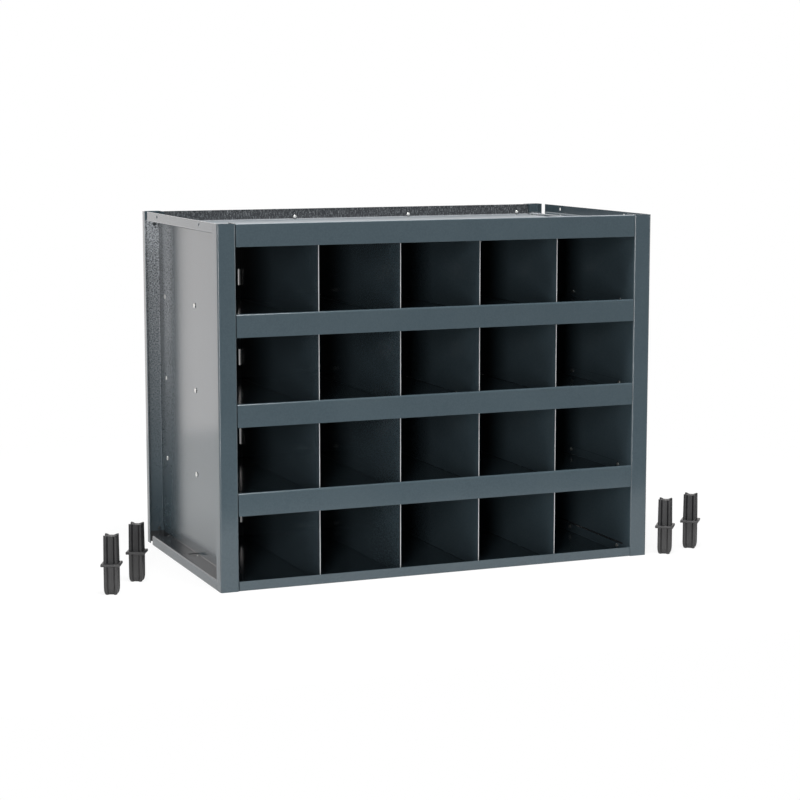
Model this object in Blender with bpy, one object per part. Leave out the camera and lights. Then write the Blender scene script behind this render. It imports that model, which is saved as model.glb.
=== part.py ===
"""Riveted steel bin rack with four loose stacking pins.

Two tray-shaped side panels, a back panel set in between them and five folded shelves make the
carcass. Sheet dividers stand between the shelves, dropped into slots in the floors and gripped
at the rear by pairs of ears lanced out of the back panel. The rack stands on Z = 0 with its
front towards -Y, and its origin is under the middle of its width and depth.
"""

from math import atan2, cos, pi, radians, sin

import bmesh
import bpy
from mathutils import Matrix, Vector

# Openings and overall size, in metres
ROWS = 4
COLUMNS = 5
ROW_PITCH = 0.112
COLUMN_PITCH = 0.1106
DEPTH = 0.3425
SIDE_DEPTH = 0.024

# Sheet metal
PANEL_SHEET = 0.0012
SHELF_SHEET = 0.0012
BACK_SHEET = 0.0010
DIVIDER_SHEET = 0.0010
INNER_BEND = 0.0012
BEND_STEPS = 3
RELIEF_SLOT = 0.0012
CLEARANCE = 0.0003
CUTTER_REACH = 0.003

# Side panels
FRONT_LIP = 0.018
REAR_LIP = 0.013
EDGE_LIP = 0.013
LIP_GAP = 0.0004
PIN_POCKET = 0.025
REAR_POCKET = 0.026
FLANGE_STRIP = 0.0065
TAB_LENGTH = 0.015
TAB_OPENING = 0.012
LIP_HOLE = 0.0055
LIP_HOLE_INSET = 0.0745

# Shelves
RAIL_RISE = 0.0113
RAIL_HEIGHT = 0.029
RAIL_THICKNESS = 0.0052
TOP_RECESS = 0.0148
SIDE_FLANGE = 0.012
REAR_FLANGE = 0.012

# Dividers and the ears and slots that hold them
DIVIDER_GAP = 0.0011
TAB_WIDTH = 0.010
TAB_SPACING = 0.110
EAR_RISE = 0.0188
EAR_HEIGHT = 0.0223
EAR_REACH = 0.004
EAR_SLOT = 0.0013

# Back panel
BACK_RECESS = 0.0155
BACK_FLANGE = 0.012

# Rivets
RIVET_SHANK = 0.0032
RIVET_HEAD_REACH = 0.0018
RIVET_HEAD_HEIGHT = 0.0013
RIVET_RIM = 0.0003
RIVET_DOME_STEPS = 2
RIVET_TAIL_REACH = 0.0011
RIVET_TAIL_HEIGHT = 0.0015
RIVET_TAIL_CHAMFER = 0.0005
RIVET_SIDES = 10
RIVET_EDGE = 0.0040
RIVET_FRONT_INSET = 0.0345
RIVET_REAR_INSET = 0.0285
RIM_RIVETS = 4
RIM_RIVET_INSET = 0.01925
RIM_RIVET_EDGE = 0.0076
RIM_RIVET_HEAD_REACH = 0.0008

# Stacking pins
PIN_LENGTH = 0.076
PIN_WIDTH = 0.0180
PIN_TOP_WIDTH = 0.0172
PIN_RIB = 0.0037
PIN_FLUTE_DEPTH = 0.0028
PIN_FLUTE_SLOPE = 0.0020
PIN_CORNER = 0.0012
PIN_NOSE = 0.009
PIN_NOSE_STEPS = 4
PIN_NOSE_WIDTH = 0.0128
PIN_DISH = 0.0022
COLLAR_REACH = 0.0032
COLLAR_THICKNESS = 0.0036
COLLAR_EDGE = 0.0005

# Where each pin stands: its side, how far out from the rack and back from its front, and its turn
PINS_STANDING = {
    "stacking_pin_left_front": ("left", 0.1264, 0.0500, radians(-24.0)),
    "stacking_pin_left_rear": ("left", 0.0782, 0.1087, radians(-27.0)),
    "stacking_pin_right_front": ("right", 0.0294, 0.0003, radians(-36.0)),
    "stacking_pin_right_rear": ("right", 0.0798, 0.0198, radians(-38.0)),
}

# Sizes that follow from the ones above
HEIGHT = ROWS * ROW_PITCH + RAIL_RISE + SHELF_SHEET
CLEAR_WIDTH = COLUMNS * COLUMN_PITCH
WIDTH = CLEAR_WIDTH + 2 * SIDE_DEPTH
FRONT = -DEPTH / 2
BACK_INNER = DEPTH / 2 - BACK_RECESS - BACK_SHEET
REAR_SEAT = BACK_INNER - CLEARANCE
SHELF_HALF = CLEAR_WIDTH / 2 - CLEARANCE
FLOORS = [SHELF_SHEET + row * ROW_PITCH for row in range(ROWS)] + [HEIGHT - TOP_RECESS]
MIDDLE_SHELVES = [f"middle_shelf_{number}" for number in range(1, ROWS)]
SHELF_NAMES = ["bottom_shelf", *MIDDLE_SHELVES, "top_shelf"]
DIVIDER_X = [COLUMN_PITCH * step - CLEAR_WIDTH / 2 for step in range(1, COLUMNS)]
DIVIDER_SETBACK = RAIL_THICKNESS + INNER_BEND + DIVIDER_GAP
TAB_PLACES = (DEPTH / 2 - TAB_SPACING / 2, DEPTH / 2 + TAB_SPACING / 2)
RIVET_REAR = DEPTH - RIVET_REAR_INSET
RIVET_PLACES = (RIVET_FRONT_INSET, (RIVET_FRONT_INSET + RIVET_REAR) / 2, RIVET_REAR)
RIVET_RISE = SIDE_FLANGE - SHELF_SHEET / 2 - RIVET_EDGE
RIVET_HOLE = RIVET_SHANK + 2 * CLEARANCE
RIM_RIVET_LEVEL = FLOORS[ROWS] - SHELF_SHEET / 2 + REAR_FLANGE - RIM_RIVET_EDGE
RIM_RIVET_END = CLEAR_WIDTH / 2 - RIM_RIVET_INSET
RIM_RIVET_PITCH = 2 * RIM_RIVET_END / (RIM_RIVETS - 1)
RIM_RIVET_X = [RIM_RIVET_PITCH * step - RIM_RIVET_END for step in range(RIM_RIVETS)]
SIDES = {"left": -1, "right": 1}


def clear_scene():
    for obj in list(bpy.data.objects):
        bpy.data.objects.remove(obj, do_unlink=True)


def material(name, colour, roughness, metallic):
    made = bpy.data.materials.new(name)
    made.use_nodes = True
    shader = made.node_tree.nodes["Principled BSDF"]
    shader.inputs["Base Color"].default_value = (*colour, 1.0)
    shader.inputs["Roughness"].default_value = roughness
    shader.inputs["Metallic"].default_value = metallic
    return made


def add_object(name, mesh, finish, parent, place=(0, 0, 0), turn=(0, 0, 0)):
    if not mesh.materials:
        mesh.materials.append(finish)
    obj = bpy.data.objects.new(name, mesh)
    obj.location = place
    obj.rotation_euler = turn
    obj.parent = parent
    bpy.context.scene.collection.objects.link(obj)
    return obj


def mesh_from(name, bm, smooth=False):
    mesh = bpy.data.meshes.new(name)
    bm.to_mesh(mesh)
    bm.free()
    if smooth:
        mesh.shade_smooth()
        mesh.set_sharp_from_angle(angle=radians(35))
    return mesh


def bend_radius(sheet):
    """Radius of a fold at the middle of its sheet."""
    return INNER_BEND + sheet / 2


def relief_depth(sheet):
    """How far a notch at the end of a fold runs into the sheet."""
    return bend_radius(sheet) + RELIEF_SLOT


def folded_sheet(name, flats, folds, sheet):
    """Joins flat panels along their folds, then rounds each fold to the bend radius."""
    bm = bmesh.new()
    corners = {}

    def corner(point):
        key = tuple(round(value, 7) for value in point)
        if key not in corners:
            corners[key] = bm.verts.new(point)
        return corners[key]

    for flat in flats:
        bm.faces.new([corner(point) for point in flat])
    bmesh.ops.recalc_face_normals(bm, faces=bm.faces[:])
    edges = [bm.edges.get((corner(start), corner(end))) for start, end in folds]
    bmesh.ops.bevel(
        bm, geom=edges, offset=bend_radius(sheet), offset_type="OFFSET", segments=BEND_STEPS,
        profile=0.5, affect="EDGES",
    )
    return mesh_from(name, bm)


def give_thickness(obj, sheet):
    solidify = obj.modifiers.new("Sheet", "SOLIDIFY")
    solidify.thickness = sheet
    solidify.offset = 0.0
    solidify.use_even_offset = True


def add_box(bm, low, high):
    size = Vector(high) - Vector(low)
    middle = (Vector(high) + Vector(low)) / 2
    place = Matrix.Translation(middle) @ Matrix.Diagonal((*size, 1.0))
    bmesh.ops.create_cube(bm, size=1.0, matrix=place)


def add_drill(bm, centre, axis, diameter, sheet):
    """A cutter for a round hole through a sheet, centred on the middle of the sheet."""
    turn = Vector((0, 0, 1)).rotation_difference(Vector(axis)).to_matrix().to_4x4()
    bmesh.ops.create_cone(
        bm, cap_ends=True, segments=RIVET_SIDES, radius1=diameter / 2, radius2=diameter / 2,
        depth=sheet + 2 * CUTTER_REACH, matrix=Matrix.Translation(centre) @ turn,
    )


def cut(obj, bm):
    """Takes the shapes in bm out of the object."""
    cutter = add_object(obj.name + "_cutter", mesh_from(obj.name + "_cutter", bm), None, obj.parent)
    cutter.hide_render = True
    cutter.display_type = "WIRE"
    boolean = obj.modifiers.new("Cut", "BOOLEAN")
    boolean.operation = "DIFFERENCE"
    boolean.object = cutter


def fuse(obj, bm):
    """Adds the shapes in bm to the object's own solid."""
    helper = add_object(obj.name + "_helper", mesh_from(obj.name + "_helper", bm), None, obj.parent)
    helper.hide_render = True
    helper.display_type = "WIRE"
    boolean = obj.modifiers.new("Fuse", "BOOLEAN")
    boolean.operation = "UNION"
    boolean.object = helper


def rivet_level(row):
    """Height of a shelf's side rivets: above an upturned flange's floor, below the top one."""
    if row == ROWS:
        return FLOORS[row] - SHELF_SHEET - RIVET_RISE
    return FLOORS[row] + RIVET_RISE


def build_side_panel(side, finish, parent):
    """A tray that opens outwards: lipped posts front and rear, lipped flanges between them."""
    out = SIDES[side]
    half = PANEL_SHEET / 2
    web = out * (CLEAR_WIDTH / 2 + half)
    lip = out * (WIDTH / 2 - half)
    strip = lip - out * FLANGE_STRIP
    opening = web + out * TAB_OPENING
    relief = relief_depth(PANEL_SHEET)
    y_front = FRONT + half
    y_lip_edge = FRONT + FRONT_LIP
    y_rear = DEPTH / 2 - half
    y_rear_lip = DEPTH / 2 - REAR_LIP
    y_strip = y_lip_edge + LIP_GAP
    y_end = DEPTH / 2 - REAR_POCKET
    y_rear_post = y_end + RELIEF_SLOT
    y_top_post = FRONT + PIN_POCKET
    y_top_fold = y_top_post + RELIEF_SLOT
    y_low_post = FRONT + RIVET_PLACES[0] + TAB_LENGTH / 2
    y_low_fold = y_low_post + RELIEF_SLOT
    y_tab = (FRONT + RIVET_PLACES[1] - TAB_LENGTH / 2, FRONT + RIVET_PLACES[1] + TAB_LENGTH / 2)
    y_gap = (y_tab[0] - RELIEF_SLOT, y_tab[1] + RELIEF_SLOT)
    y_rear_tab = FRONT + RIVET_PLACES[2] - TAB_LENGTH / 2
    y_rear_gap = y_rear_tab - RELIEF_SLOT
    z_top = HEIGHT - EDGE_LIP + half
    z_low = EDGE_LIP - half
    z_top_relief = z_top - relief
    z_low_relief = z_low + relief
    hole_drop = (EDGE_LIP - half - bend_radius(PANEL_SHEET)) / 2

    web_outline = [
        (y_front, 0), (y_low_post, 0), (y_low_post, z_low_relief), (y_low_fold, z_low_relief),
        (y_low_fold, z_low), (y_gap[0], z_low), (y_gap[0], z_low_relief), (y_tab[0], z_low_relief),
        (y_tab[0], 0), (y_tab[1], 0), (y_tab[1], z_low_relief), (y_gap[1], z_low_relief),
        (y_gap[1], z_low), (y_rear_gap, z_low), (y_rear_gap, z_low_relief),
        (y_rear_tab, z_low_relief), (y_rear_tab, 0), (y_rear, 0), (y_rear, HEIGHT),
        (y_rear_post, HEIGHT), (y_rear_post, z_top_relief), (y_end, z_top_relief), (y_end, z_top),
        (y_top_fold, z_top), (y_top_fold, z_top_relief), (y_top_post, z_top_relief),
        (y_top_post, HEIGHT), (y_front, HEIGHT),
    ]
    top_flange = [
        (web, y_top_fold), (web, y_end), (lip, y_end), (lip, y_strip), (strip, y_strip),
        (strip, y_top_fold),
    ]
    low_flange = [
        (web, y_low_fold), (web, y_gap[0]), (opening, y_gap[0]), (opening, y_gap[1]),
        (web, y_gap[1]), (web, y_rear_gap), (opening, y_rear_gap), (opening, y_end), (lip, y_end),
        (lip, y_strip), (strip, y_strip), (strip, y_low_fold),
    ]
    flats = [
        [(web, y, z) for y, z in web_outline],
        [(web, y_front, 0), (web, y_front, HEIGHT), (lip, y_front, HEIGHT), (lip, y_front, 0)],
        [(lip, y_front, 0), (lip, y_front, HEIGHT), (lip, y_lip_edge, HEIGHT), (lip, y_lip_edge, 0)],
        [(web, y_rear, 0), (web, y_rear, HEIGHT), (lip, y_rear, HEIGHT), (lip, y_rear, 0)],
        [(lip, y_rear, 0), (lip, y_rear, HEIGHT), (lip, y_rear_lip, HEIGHT), (lip, y_rear_lip, 0)],
        [(x, y, z_top) for x, y in top_flange],
        [(lip, y_strip, z_top), (lip, y_end, z_top), (lip, y_end, HEIGHT), (lip, y_strip, HEIGHT)],
        [(x, y, z_low) for x, y in low_flange],
        [(lip, y_strip, z_low), (lip, y_end, z_low), (lip, y_end, 0), (lip, y_strip, 0)],
    ]
    folds = [
        ((web, y_front, 0), (web, y_front, HEIGHT)),
        ((lip, y_front, 0), (lip, y_front, HEIGHT)),
        ((web, y_rear, 0), (web, y_rear, HEIGHT)),
        ((lip, y_rear, 0), (lip, y_rear, HEIGHT)),
        ((web, y_top_fold, z_top), (web, y_end, z_top)),
        ((lip, y_strip, z_top), (lip, y_end, z_top)),
        ((web, y_low_fold, z_low), (web, y_gap[0], z_low)),
        ((web, y_gap[1], z_low), (web, y_rear_gap, z_low)),
        ((lip, y_strip, z_low), (lip, y_end, z_low)),
    ]
    name = side + "_side_panel"
    obj = add_object(name, folded_sheet(name, flats, folds, PANEL_SHEET), finish, parent)
    give_thickness(obj, PANEL_SHEET)

    holes = bmesh.new()
    for row in range(ROWS):
        for place in RIVET_PLACES:
            centre = (web, FRONT + place, rivet_level(row))
            add_drill(holes, centre, (1, 0, 0), RIVET_HOLE, PANEL_SHEET)
    for y in (FRONT + LIP_HOLE_INSET, -FRONT - LIP_HOLE_INSET):
        add_drill(holes, (lip, y, HEIGHT - hole_drop), (1, 0, 0), LIP_HOLE, PANEL_SHEET)
    cut(obj, holes)


def build_back_panel(finish, parent):
    """A sheet flanged rearwards along the side panels, with lanced ears that grip the dividers."""
    half = BACK_SHEET / 2
    edge = SHELF_HALF - half
    y_back = BACK_INNER + half
    y_flange = y_back + BACK_FLANGE
    flats = [[(-edge, y_back, 0), (edge, y_back, 0), (edge, y_back, HEIGHT), (-edge, y_back, HEIGHT)]]
    folds = []
    for x in (-edge, edge):
        flats.append([(x, y_back, 0), (x, y_back, HEIGHT), (x, y_flange, HEIGHT), (x, y_flange, 0)])
        folds.append(((x, y_back, 0), (x, y_back, HEIGHT)))
    sheet = folded_sheet("back_panel", flats, folds, BACK_SHEET)
    obj = add_object("back_panel", sheet, finish, parent)
    give_thickness(obj, BACK_SHEET)

    slots = bmesh.new()
    ears = bmesh.new()
    ear_face = DIVIDER_SHEET / 2 + CLEARANCE
    ear_back = ear_face + BACK_SHEET
    for row in range(ROWS):
        low = FLOORS[row] + EAR_RISE
        high = low + EAR_HEIGHT
        for x in DIVIDER_X:
            for out in SIDES.values():
                ear_x = sorted((x + out * ear_face, x + out * ear_back))
                slot_x = sorted((x + out * ear_back, x + out * (ear_back + EAR_SLOT)))
                y_slot = (y_back - CUTTER_REACH, y_back + CUTTER_REACH)
                add_box(slots, (slot_x[0], y_slot[0], low), (slot_x[1], y_slot[1], high))
                add_box(ears, (ear_x[0], BACK_INNER - EAR_REACH, low), (ear_x[1], y_back, high))
    for x in RIM_RIVET_X:
        add_drill(slots, (x, y_back, RIM_RIVET_LEVEL), (0, 1, 0), RIVET_HOLE, BACK_SHEET)
    cut(obj, slots)
    fuse(obj, ears)


def build_shelf(row, finish, parent):
    """A floor with flanges on four sides. All but the bottom one end in a folded front rail."""
    half = SHELF_SHEET / 2
    floor = FLOORS[row] - half
    rail_top = HEIGHT if row == ROWS else FLOORS[row] + RAIL_RISE
    flange_end = floor - SIDE_FLANGE if row == ROWS else floor + SIDE_FLANGE
    rear_end = floor + REAR_FLANGE
    x_rail = SHELF_HALF
    x_side = SHELF_HALF - half
    relief = relief_depth(SHELF_SHEET)
    x_slot = x_side - relief
    y_face = FRONT + half
    y_lip = y_face if row == 0 else FRONT + RAIL_THICKNESS - half
    y_rear = REAR_SEAT - half
    y_ear = (y_lip + relief, y_rear - relief)
    y_side = (y_ear[0] + RELIEF_SLOT, y_ear[1] - RELIEF_SLOT)

    right_edge = [
        (x_rail, y_lip), (x_rail, y_ear[0]), (x_slot, y_ear[0]), (x_slot, y_side[0]),
        (x_side, y_side[0]), (x_side, y_side[1]), (x_slot, y_side[1]), (x_slot, y_ear[1]),
        (x_rail, y_ear[1]), (x_rail, y_rear),
    ]
    outline = right_edge + [(-x, y) for x, y in reversed(right_edge)]
    flats = [[(x, y, floor) for x, y in outline]]
    folds = []

    def add_strip(start, end):
        """A strip across the full width from one (y, z) line to the next, folded at its start."""
        flats.append([
            (-x_rail, *start), (x_rail, *start), (x_rail, *end), (-x_rail, *end),
        ])
        folds.append(((-x_rail, *start), (x_rail, *start)))

    if row == 0:
        add_strip((y_lip, floor), (y_lip, rail_top))
    else:
        crest = rail_top - half
        add_strip((y_lip, floor), (y_lip, crest))
        add_strip((y_lip, crest), (y_face, crest))
        add_strip((y_face, crest), (y_face, rail_top - RAIL_HEIGHT))
    add_strip((y_rear, floor), (y_rear, rear_end))
    for x in (-x_side, x_side):
        start, end = (x, y_side[0], floor), (x, y_side[1], floor)
        flats.append([start, end, (x, y_side[1], flange_end), (x, y_side[0], flange_end)])
        folds.append((start, end))

    name = SHELF_NAMES[row]
    obj = add_object(name, folded_sheet(name, flats, folds, SHELF_SHEET), finish, parent)
    give_thickness(obj, SHELF_SHEET)

    holes = bmesh.new()
    if row < ROWS:
        slot = (DIVIDER_SHEET / 2 + CLEARANCE, TAB_WIDTH / 2 + CLEARANCE)
        for x in DIVIDER_X:
            for place in TAB_PLACES:
                y = FRONT + place
                low = (x - slot[0], y - slot[1], floor - CUTTER_REACH)
                add_box(holes, low, (x + slot[0], y + slot[1], floor + CUTTER_REACH))
        for x in (-x_side, x_side):
            for place in RIVET_PLACES:
                centre = (x, FRONT + place, rivet_level(row))
                add_drill(holes, centre, (1, 0, 0), RIVET_HOLE, SHELF_SHEET)
    else:
        for x in RIM_RIVET_X:
            add_drill(holes, (x, y_rear, RIM_RIVET_LEVEL), (0, 1, 0), RIVET_HOLE, SHELF_SHEET)
    cut(obj, holes)


def divider_mesh(height):
    """A divider from its floor up, in its own frame: y back from its front edge, z up."""
    length = REAR_SEAT - FRONT - DIVIDER_SETBACK
    notch_y = length - SHELF_SHEET - INNER_BEND - CLEARANCE
    notch_z = REAR_FLANGE
    tab_end = -(SHELF_SHEET + CLEARANCE)
    outline = [(0, 0)]
    for place in TAB_PLACES:
        middle = place - DIVIDER_SETBACK
        start, end = middle - TAB_WIDTH / 2, middle + TAB_WIDTH / 2
        outline += [(start, 0), (start, tab_end), (end, tab_end), (end, 0)]
    outline += [(notch_y, 0), (notch_y, notch_z), (length, notch_z), (length, height), (0, height)]

    bm = bmesh.new()
    near = [bm.verts.new((-DIVIDER_SHEET / 2, y, z)) for y, z in outline]
    face = bm.faces.new(near)
    swept = bmesh.ops.extrude_face_region(bm, geom=[face])
    moved = [item for item in swept["geom"] if isinstance(item, bmesh.types.BMVert)]
    bmesh.ops.translate(bm, vec=(DIVIDER_SHEET, 0, 0), verts=moved)
    bmesh.ops.recalc_face_normals(bm, faces=bm.faces[:])
    return mesh_from("divider", bm)


def build_dividers(finish, parent):
    meshes = {}
    for row in range(ROWS):
        height = FLOORS[row + 1] - SHELF_SHEET - FLOORS[row] - 2 * CLEARANCE
        key = round(height, 6)
        if key not in meshes:
            meshes[key] = divider_mesh(height)
        for number, x in enumerate(DIVIDER_X, start=1):
            name = f"row_{row + 1}_divider_{number}"
            place = (x, FRONT + DIVIDER_SETBACK, FLOORS[row] + CLEARANCE)
            add_object(name, meshes[key], finish, parent, place)


def revolve(name, profile, sides):
    """Turns an outline of (radius, height) points about Z."""
    bm = bmesh.new()
    verts = [bm.verts.new((radius, 0, height)) for radius, height in profile]
    edges = [bm.edges.new(pair) for pair in zip(verts, verts[1:])]
    bmesh.ops.spin(
        bm, geom=verts + edges, cent=(0, 0, 0), axis=(0, 0, 1), angle=2 * pi, steps=sides,
        use_merge=True,
    )
    bmesh.ops.remove_doubles(bm, verts=bm.verts[:], dist=1e-6)
    bmesh.ops.recalc_face_normals(bm, faces=bm.faces[:])
    return mesh_from(name, bm, smooth=True)


def rivet_mesh(name, grip, head_reach):
    """A domed head on the outside, a shank and a set tail. Z points out of the head."""
    shank = RIVET_SHANK / 2
    head = shank + head_reach
    tail = shank + RIVET_TAIL_REACH
    tail_end = -grip - RIVET_TAIL_HEIGHT
    dome = []
    for step in range(RIVET_DOME_STEPS + 1):
        angle = step / RIVET_DOME_STEPS * pi / 2
        dome.append((head * sin(angle), RIVET_RIM + (RIVET_HEAD_HEIGHT - RIVET_RIM) * cos(angle)))
    profile = dome + [
        (head, 0), (shank, 0), (shank, -grip), (tail, -grip), (tail - RIVET_TAIL_CHAMFER, tail_end),
        (0, tail_end),
    ]
    return revolve(name, profile, RIVET_SIDES)


def build_rivets(finish, parent):
    side_grip = PANEL_SHEET + SHELF_SHEET + 3 * CLEARANCE
    side_mesh = rivet_mesh("side_rivet", side_grip, RIVET_HEAD_REACH)
    seat = CLEAR_WIDTH / 2 + PANEL_SHEET + CLEARANCE
    place_names = ["front", "middle", "rear"]
    for side, out in SIDES.items():
        for row in range(ROWS):
            for word, y in zip(place_names, RIVET_PLACES):
                name = f"rivet_{side}_{SHELF_NAMES[row]}_{word}"
                place = (out * seat, FRONT + y, rivet_level(row))
                add_object(name, side_mesh, finish, parent, place, (0, out * pi / 2, 0))

    rear_grip = BACK_SHEET + SHELF_SHEET + 3 * CLEARANCE
    rear_mesh = rivet_mesh("rear_rivet", rear_grip, RIM_RIVET_HEAD_REACH)
    inner_face = REAR_SEAT - SHELF_SHEET - CLEARANCE
    for number, x in enumerate(RIM_RIVET_X, start=1):
        place = (x, inner_face, RIM_RIVET_LEVEL)
        add_object(f"rivet_rear_rim_{number}", rear_mesh, finish, parent, place, (pi / 2, 0, 0))


def pin_section(width, height):
    """A ring of points round the pin: four ribbed corners with a fluted face between each pair."""
    share = width / PIN_WIDTH
    half = width / 2
    corner = PIN_CORNER * share
    rib = half - PIN_RIB * share
    flute = rib - PIN_FLUTE_SLOPE * share
    depth = half - PIN_FLUTE_DEPTH * share
    face = [
        (-half + corner, half), (-rib, half), (-flute, depth), (flute, depth), (rib, half),
        (half - corner, half),
    ]
    ring = []
    for quarter in range(4):
        turn = -quarter * pi / 2
        for x, y in face:
            ring.append((x * cos(turn) - y * sin(turn), x * sin(turn) + y * cos(turn), height))
    return sorted(ring, key=lambda point: atan2(point[1], point[0]))


def pin_mesh():
    """A fluted peg: a rounded nose at its foot, and a top that dips between its four corners."""
    nose = [index / PIN_NOSE_STEPS for index in range(PIN_NOSE_STEPS + 1)]
    levels = []
    for share in nose:
        swell = sin(share * pi / 2)
        width = PIN_NOSE_WIDTH + (PIN_WIDTH - PIN_NOSE_WIDTH) * swell
        levels.append((width, PIN_NOSE * (1 - cos(share * pi / 2))))
    levels += [(PIN_WIDTH, PIN_LENGTH / 2), (PIN_TOP_WIDTH, PIN_LENGTH)]

    bm = bmesh.new()
    rings = [[bm.verts.new(point) for point in pin_section(*level)] for level in levels]
    for vert in rings[-1]:
        inward = min(abs(vert.co.x), abs(vert.co.y)) / (PIN_TOP_WIDTH / 2)
        vert.co.z -= PIN_DISH * (1 - inward ** 2)
    for lower, upper in zip(rings, rings[1:]):
        for index in range(len(lower)):
            following = (index + 1) % len(lower)
            bm.faces.new((lower[index], lower[following], upper[following], upper[index]))
    bm.faces.new(rings[0][::-1])
    crown = bm.verts.new((0, 0, PIN_LENGTH - PIN_DISH))
    top = rings[-1]
    for index in range(len(top)):
        bm.faces.new((top[index], top[(index + 1) % len(top)], crown))
    bmesh.ops.recalc_face_normals(bm, faces=bm.faces[:])
    return mesh_from("stacking_pin", bm, smooth=True)


def add_collar(obj):
    bm = bmesh.new()
    half = PIN_WIDTH / 2 + COLLAR_REACH
    low = (PIN_LENGTH - COLLAR_THICKNESS) / 2
    add_box(bm, (-half, -half, low), (half, half, low + COLLAR_THICKNESS))
    bmesh.ops.bevel(
        bm, geom=bm.edges[:], offset=COLLAR_EDGE, offset_type="OFFSET", segments=1, profile=0.5,
        affect="EDGES",
    )
    fuse(obj, bm)


def build_pins(finish, parent):
    mesh = pin_mesh()
    for name, (side, apart, back, yaw) in PINS_STANDING.items():
        stand = bpy.data.objects.new(name + "_stand", None)
        stand.location = (SIDES[side] * (WIDTH / 2 + apart), FRONT + back, 0)
        stand.rotation_euler = (0, 0, yaw)
        stand.parent = parent
        bpy.context.scene.collection.objects.link(stand)
        add_collar(add_object(name, mesh, finish, stand))


def main():
    clear_scene()
    enamel = material("blue_grey_enamel", (0.077, 0.103, 0.117), 0.38, 0.0)
    zinc = material("zinc_plate", (0.72, 0.72, 0.70), 0.32, 1.0)
    plastic = material("charcoal_plastic", (0.042, 0.040, 0.042), 0.48, 0.0)

    rack = bpy.data.objects.new("bin_rack", None)
    bpy.context.scene.collection.objects.link(rack)
    for side in SIDES:
        build_side_panel(side, enamel, rack)
    build_back_panel(enamel, rack)
    for row in range(ROWS + 1):
        build_shelf(row, enamel, rack)
    build_dividers(enamel, rack)
    build_rivets(zinc, rack)
    build_pins(plastic, rack)


main()
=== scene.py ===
from math import pi, radians

import bpy
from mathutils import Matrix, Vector


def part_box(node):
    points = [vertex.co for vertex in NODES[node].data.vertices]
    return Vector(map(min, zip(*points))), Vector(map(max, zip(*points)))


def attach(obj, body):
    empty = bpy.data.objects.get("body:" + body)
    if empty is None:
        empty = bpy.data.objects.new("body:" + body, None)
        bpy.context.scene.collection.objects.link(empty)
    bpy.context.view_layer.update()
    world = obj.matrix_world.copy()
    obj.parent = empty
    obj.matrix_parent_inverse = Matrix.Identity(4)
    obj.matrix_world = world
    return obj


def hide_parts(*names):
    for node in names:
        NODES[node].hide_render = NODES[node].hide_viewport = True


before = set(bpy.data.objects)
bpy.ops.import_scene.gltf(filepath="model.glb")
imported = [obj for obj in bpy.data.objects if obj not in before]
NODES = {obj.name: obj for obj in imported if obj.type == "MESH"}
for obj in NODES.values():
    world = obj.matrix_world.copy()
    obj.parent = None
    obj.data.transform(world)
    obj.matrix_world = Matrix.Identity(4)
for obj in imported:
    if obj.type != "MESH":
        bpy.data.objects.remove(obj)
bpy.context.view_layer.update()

bl_info = {
    "name": "Bin Rack Finish",
    "version": (1, 0, 0),
    "blender": (4, 5, 0),
    "location": "3D View > Sidebar > Bin Rack",
    "description": "Enamels a steel bin rack, sets its rivets, finishes its stacking pins and stages it",
    "category": "Object",
}

BODY = "root"
RIVET_NODES = sorted(name for name in NODES if name.startswith("rivet_"))
RIM_NODES = [name for name in RIVET_NODES if "_rim_" in name]
PIN_NODES = sorted(name for name in NODES if name.startswith("stacking_pin_"))
SHEET_NODES = sorted(set(NODES) - set(RIVET_NODES) - set(PIN_NODES))
DIVIDER_NODES = [name for name in SHEET_NODES if "_divider_" in name]
PANEL_NODES = [name for name in SHEET_NODES if name.endswith("_side_panel")]
PANEL_LOW, PANEL_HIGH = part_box("left_side_panel")
BACK_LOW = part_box("back_panel")[0]
WEB_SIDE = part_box("bottom_shelf")[1].x
LIP_SIDE = -PANEL_LOW.x
DIVIDER_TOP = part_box("row_4_divider_1")[1].z
SHELF_LEVELS = sorted({round(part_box(name)[0].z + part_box(name)[1].z, 5) / 2
                       for name in RIVET_NODES if name not in RIM_NODES})
DIVIDER_PLACES = sorted({round((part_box(name)[0].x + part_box(name)[1].x) / 2, 5) for name in DIVIDER_NODES})

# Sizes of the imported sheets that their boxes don't tell
PANEL_SHEET = 0.0012
BACK_SHEET = 0.0010
TOP_FLANGE_DEPTH = 0.0124
LOW_FLANGE_TOP = 0.0145
EAR_REACH = 0.004
EAR_ABOVE_RIVETS = 0.0114
BACK_MIDDLE = BACK_LOW.y + EAR_REACH + BACK_SHEET / 2

# The least height that tells one face of the top shelf from the next, and the limits of the edge rounding
HAZE_SKIN = 0.0010
WELD_REACH = 0.00001
FLAT_ANGLE = radians(1.0)
EDGE_ANGLE = radians(40.0)


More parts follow.
